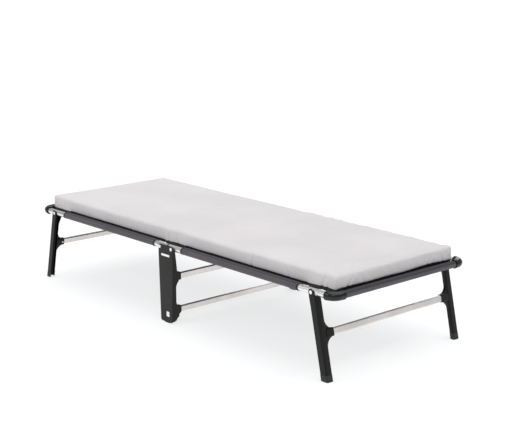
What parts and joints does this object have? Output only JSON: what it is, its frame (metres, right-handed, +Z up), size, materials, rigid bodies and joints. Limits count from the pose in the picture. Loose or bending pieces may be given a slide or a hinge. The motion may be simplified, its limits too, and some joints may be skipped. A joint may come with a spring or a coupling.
{
  "type": "folding rollaway bed",
  "caption": "Low single bed with a loose mattress on a fabric deck, tube rails hinged at the middle, and folding end legs.",
  "frame": {"origin": "on the floor under the middle of the bed", "axes": "+X along the bed's length, +Y across it, +Z up"},
  "size_m": [1.8886, 0.736, 0.378],
  "materials": {
    "aluminium": "satin anodised tube",
    "black_plastic": "moulded, fine grain",
    "rubber": "matt",
    "nylon": "smooth nylon",
    "steel": "plated",
    "badge_metal": "satin, blank",
    "deck_fabric": "dark grey woven polyester",
    "webbing": "woven webbing",
    "mattress_fabric": "pale grey knitted ticking"
  },
  "bodies": {
    "centre_frame": {"centre_leg_front": "black_plastic", "centre_leg_back": "black_plastic", "centre_crossbar_lower": "aluminium", "centre_crossbar_upper": "aluminium", "centre_crossbar_screws": "steel", "centre_foot_pads": "rubber", "centre_hinge_pins": "steel", "centre_hinge_washers": "nylon", "centre_nameplates": "badge_metal", "centre_foot_badges": "badge_metal"},
    "left_half": {"left_side_rail_front": "aluminium", "left_side_rail_back": "aluminium", "left_end_rail": "aluminium", "left_elbow_front": "black_plastic", "left_elbow_back": "black_plastic", "left_elbow_rivets": "steel", "left_rail_plugs": "black_plastic", "left_sleeve_front": "deck_fabric", "left_sleeve_back": "deck_fabric", "left_sleeve_end": "deck_fabric", "left_deck": "deck_fabric", "left_closing_strap": "webbing"},
    "left_leg_frame": {"left_end_leg_front": "black_plastic", "left_end_leg_back": "black_plastic", "left_end_crossbar": "aluminium", "left_foot_caps": "rubber", "left_leg_pivot_pins": "steel", "left_leg_pivot_washers": "nylon", "left_crossbar_screws": "steel"},
    "right_half": {"right_side_rail_front": "aluminium", "right_side_rail_back": "aluminium", "right_end_rail": "aluminium", "right_elbow_front": "black_plastic", "right_elbow_back": "black_plastic", "right_elbow_rivets": "steel", "right_rail_plugs": "black_plastic", "right_sleeve_front": "deck_fabric", "right_sleeve_back": "deck_fabric", "right_sleeve_end": "deck_fabric", "right_deck": "deck_fabric"},
    "right_leg_frame": {"right_end_leg_front": "black_plastic", "right_end_leg_back": "black_plastic", "right_end_crossbar": "aluminium", "right_foot_caps": "rubber", "right_leg_pivot_pins": "steel", "right_leg_pivot_washers": "nylon", "right_crossbar_screws": "steel"},
    "mattress_body": {"mattress": "mattress_fabric"}
  },
  "joints": [
    {"name": "left_half_fold", "type": "hinge", "parent": "centre_frame", "child": "left_half", "pos_m": [-0.0365, 0, 0.312], "axis": [0, -1, 0], "range_deg": [0, 90]},
    {"name": "right_half_fold", "type": "hinge", "parent": "centre_frame", "child": "right_half", "pos_m": [0.0365, 0, 0.312], "axis": [0, 1, 0], "range_deg": [0, 90]},
    {"name": "left_leg_fold", "type": "hinge", "parent": "left_half", "child": "left_leg_frame", "pos_m": [-0.829, 0, 0.312], "axis": [0, -1, 0], "range_deg": [0, 102.5]},
    {"name": "right_leg_fold", "type": "hinge", "parent": "right_half", "child": "right_leg_frame", "pos_m": [0.829, 0, 0.312], "axis": [0, 1, 0], "range_deg": [0, 102.5]},
    {"name": "mattress_lift", "type": "slide", "parent": "centre_frame", "child": "mattress_body", "axis": [0, 0, 1], "range_m": [0, 0.3]}
  ]
}
